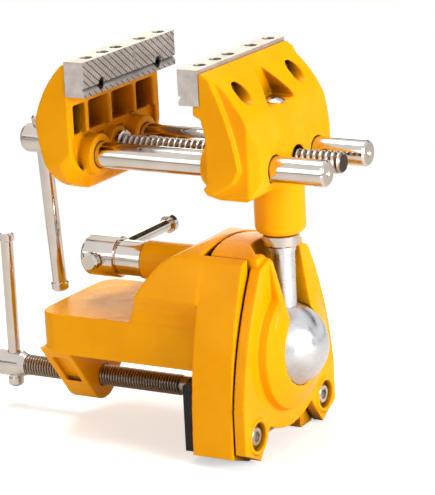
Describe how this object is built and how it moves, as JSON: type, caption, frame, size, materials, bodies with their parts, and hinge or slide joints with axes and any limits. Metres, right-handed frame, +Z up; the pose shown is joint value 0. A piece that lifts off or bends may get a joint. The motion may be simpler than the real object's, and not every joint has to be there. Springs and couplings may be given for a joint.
{
  "type": "clamp-on ball vise",
  "caption": "Clamp-on bench vise whose jaw head stands on a ball held between the base column and a hinged cover, so it tilts and turns; sliding jaws close on guide rods by a screw",
  "frame": {"origin": "on the bench pad's face, where the clamp screw's axis meets it", "axes": "+X points from the clamp handles to the ball along the guide rods; +Y runs across the jaws, away from the viewer of the picture; +Z is up along the ball's stem"},
  "size_m": [0.1954, 0.1065, 0.182],
  "materials": {
    "enamel": "glossy yellow-orange enamel over a casting",
    "pad_rubber": "matte black",
    "screw_chrome": "bright plated",
    "seat_plastic": "smooth off-white",
    "ball_chrome": "satin chrome plate",
    "bar_chrome": "polished chrome plate",
    "nut_brass": "machined",
    "plate_steel": "ground steel with a crosshatched grip face",
    "screw_black": "blackened",
    "thread_steel": "plated rolled thread",
    "clamp_steel": "dark oiled thread"
  },
  "bodies": {
    "base": {"base_casting": "enamel", "bench_pad": "pad_rubber", "cover_screw_near": "screw_chrome", "cover_screw_far": "screw_chrome"},
    "cover": {"ball_cover": "enamel"},
    "seat": {"ball_seat": "seat_plastic"},
    "stem": {"ball_and_stem": "ball_chrome", "stem_collar": "bar_chrome"},
    "head": {"fixed_jaw": "enamel", "fixed_jaw_plate": "plate_steel", "fixed_plate_screw_near": "screw_chrome", "fixed_plate_screw_far": "screw_chrome", "lead_nut": "nut_brass", "nut_bolt": "screw_chrome"},
    "slide_jaw": {"moving_jaw": "enamel", "moving_jaw_plate": "plate_steel", "moving_plate_screw_near": "screw_black", "moving_plate_screw_far": "screw_black", "guide_rod_near": "bar_chrome", "guide_rod_far": "bar_chrome"},
    "lead": {"lead_screw": "thread_steel", "lead_collar": "bar_chrome"},
    "main_handle": {"main_bar": "bar_chrome", "main_bar_cap_low": "bar_chrome", "main_bar_cap_high": "bar_chrome"},
    "tip": {"clamp_tip": "clamp_steel"},
    "clamp": {"clamp_screw": "clamp_steel"},
    "clamp_handle": {"clamp_bar": "bar_chrome", "clamp_bar_cap_low": "bar_chrome", "clamp_bar_cap_high": "bar_chrome"},
    "lock": {"lock_screw": "bar_chrome", "lock_washer": "bar_chrome"},
    "lock_handle": {"lock_bar": "bar_chrome", "lock_bar_cap_low": "bar_chrome", "lock_bar_cap_high": "bar_chrome"}
  },
  "joints": [
    {"name": "lock_turn", "type": "hinge", "parent": "base", "child": "lock", "pos_m": [-0.065, 0, 0.0598], "axis": [1, 0, 0], "range_deg": [-27, 0]},
    {"name": "cover_pivot", "type": "hinge", "parent": "base", "child": "cover", "pos_m": [0.0265, 0, -0.0075], "axis": [0, 1, 0], "range_deg": [0, 0.1]},
    {"name": "lock_bar_slide", "type": "slide", "parent": "lock", "child": "lock_handle", "axis": [0, 1, 0], "range_m": [-0.048, 0]},
    {"name": "clamp_advance", "type": "slide", "parent": "base", "child": "tip", "axis": [1, 0, 0], "range_m": [-0.04, 0.02]},
    {"name": "clamp_turn", "type": "hinge", "parent": "tip", "child": "clamp", "pos_m": [-0.0275, 0, 0], "axis": [1, 0, 0], "range_deg": [-9600, 4800]},
    {"name": "clamp_bar_slide", "type": "slide", "parent": "clamp", "child": "clamp_handle", "axis": [0, 0, 1], "range_m": [-0.0549, 0]},
    {"name": "side_tilt", "type": "hinge", "parent": "base", "child": "seat", "pos_m": [0.0305, 0, 0.0265], "axis": [1, 0, 0], "range_deg": [-6, 6]},
    {"name": "ball_swing", "type": "hinge", "parent": "seat", "child": "stem", "pos_m": [0.0305, 0, 0.0265], "axis": [0, 1, 0], "range_deg": [0, 90]},
    {"name": "head_spin", "type": "hinge", "parent": "stem", "child": "head", "pos_m": [0.0305, 0, 0.0738], "axis": [0, 0, 1], "continuous": true},
    {"name": "jaw_slide", "type": "slide", "parent": "head", "child": "slide_jaw", "axis": [1, 0, 0], "range_m": [-0.0285, 0.0476]},
    {"name": "lead_turn", "type": "hinge", "parent": "slide_jaw", "child": "lead", "pos_m": [-0.0725, 0, 0.1142], "axis": [1, 0, 0], "range_deg": [-3420, 5712]},
    {"name": "main_bar_slide", "type": "slide", "parent": "lead", "child": "main_handle", "axis": [0, -0.0872, 0.9962], "range_m": [0, 0.0647]}
  ],
  "couplings": [
    {"joint": "cover_pivot", "follows": "lock_turn", "ratio": -0.0035473},
    {"joint": "clamp_turn", "follows": "clamp_advance", "rad_per_m": 4188.8},
    {"joint": "lead_turn", "follows": "jaw_slide", "rad_per_m": 2094.4}
  ]
}
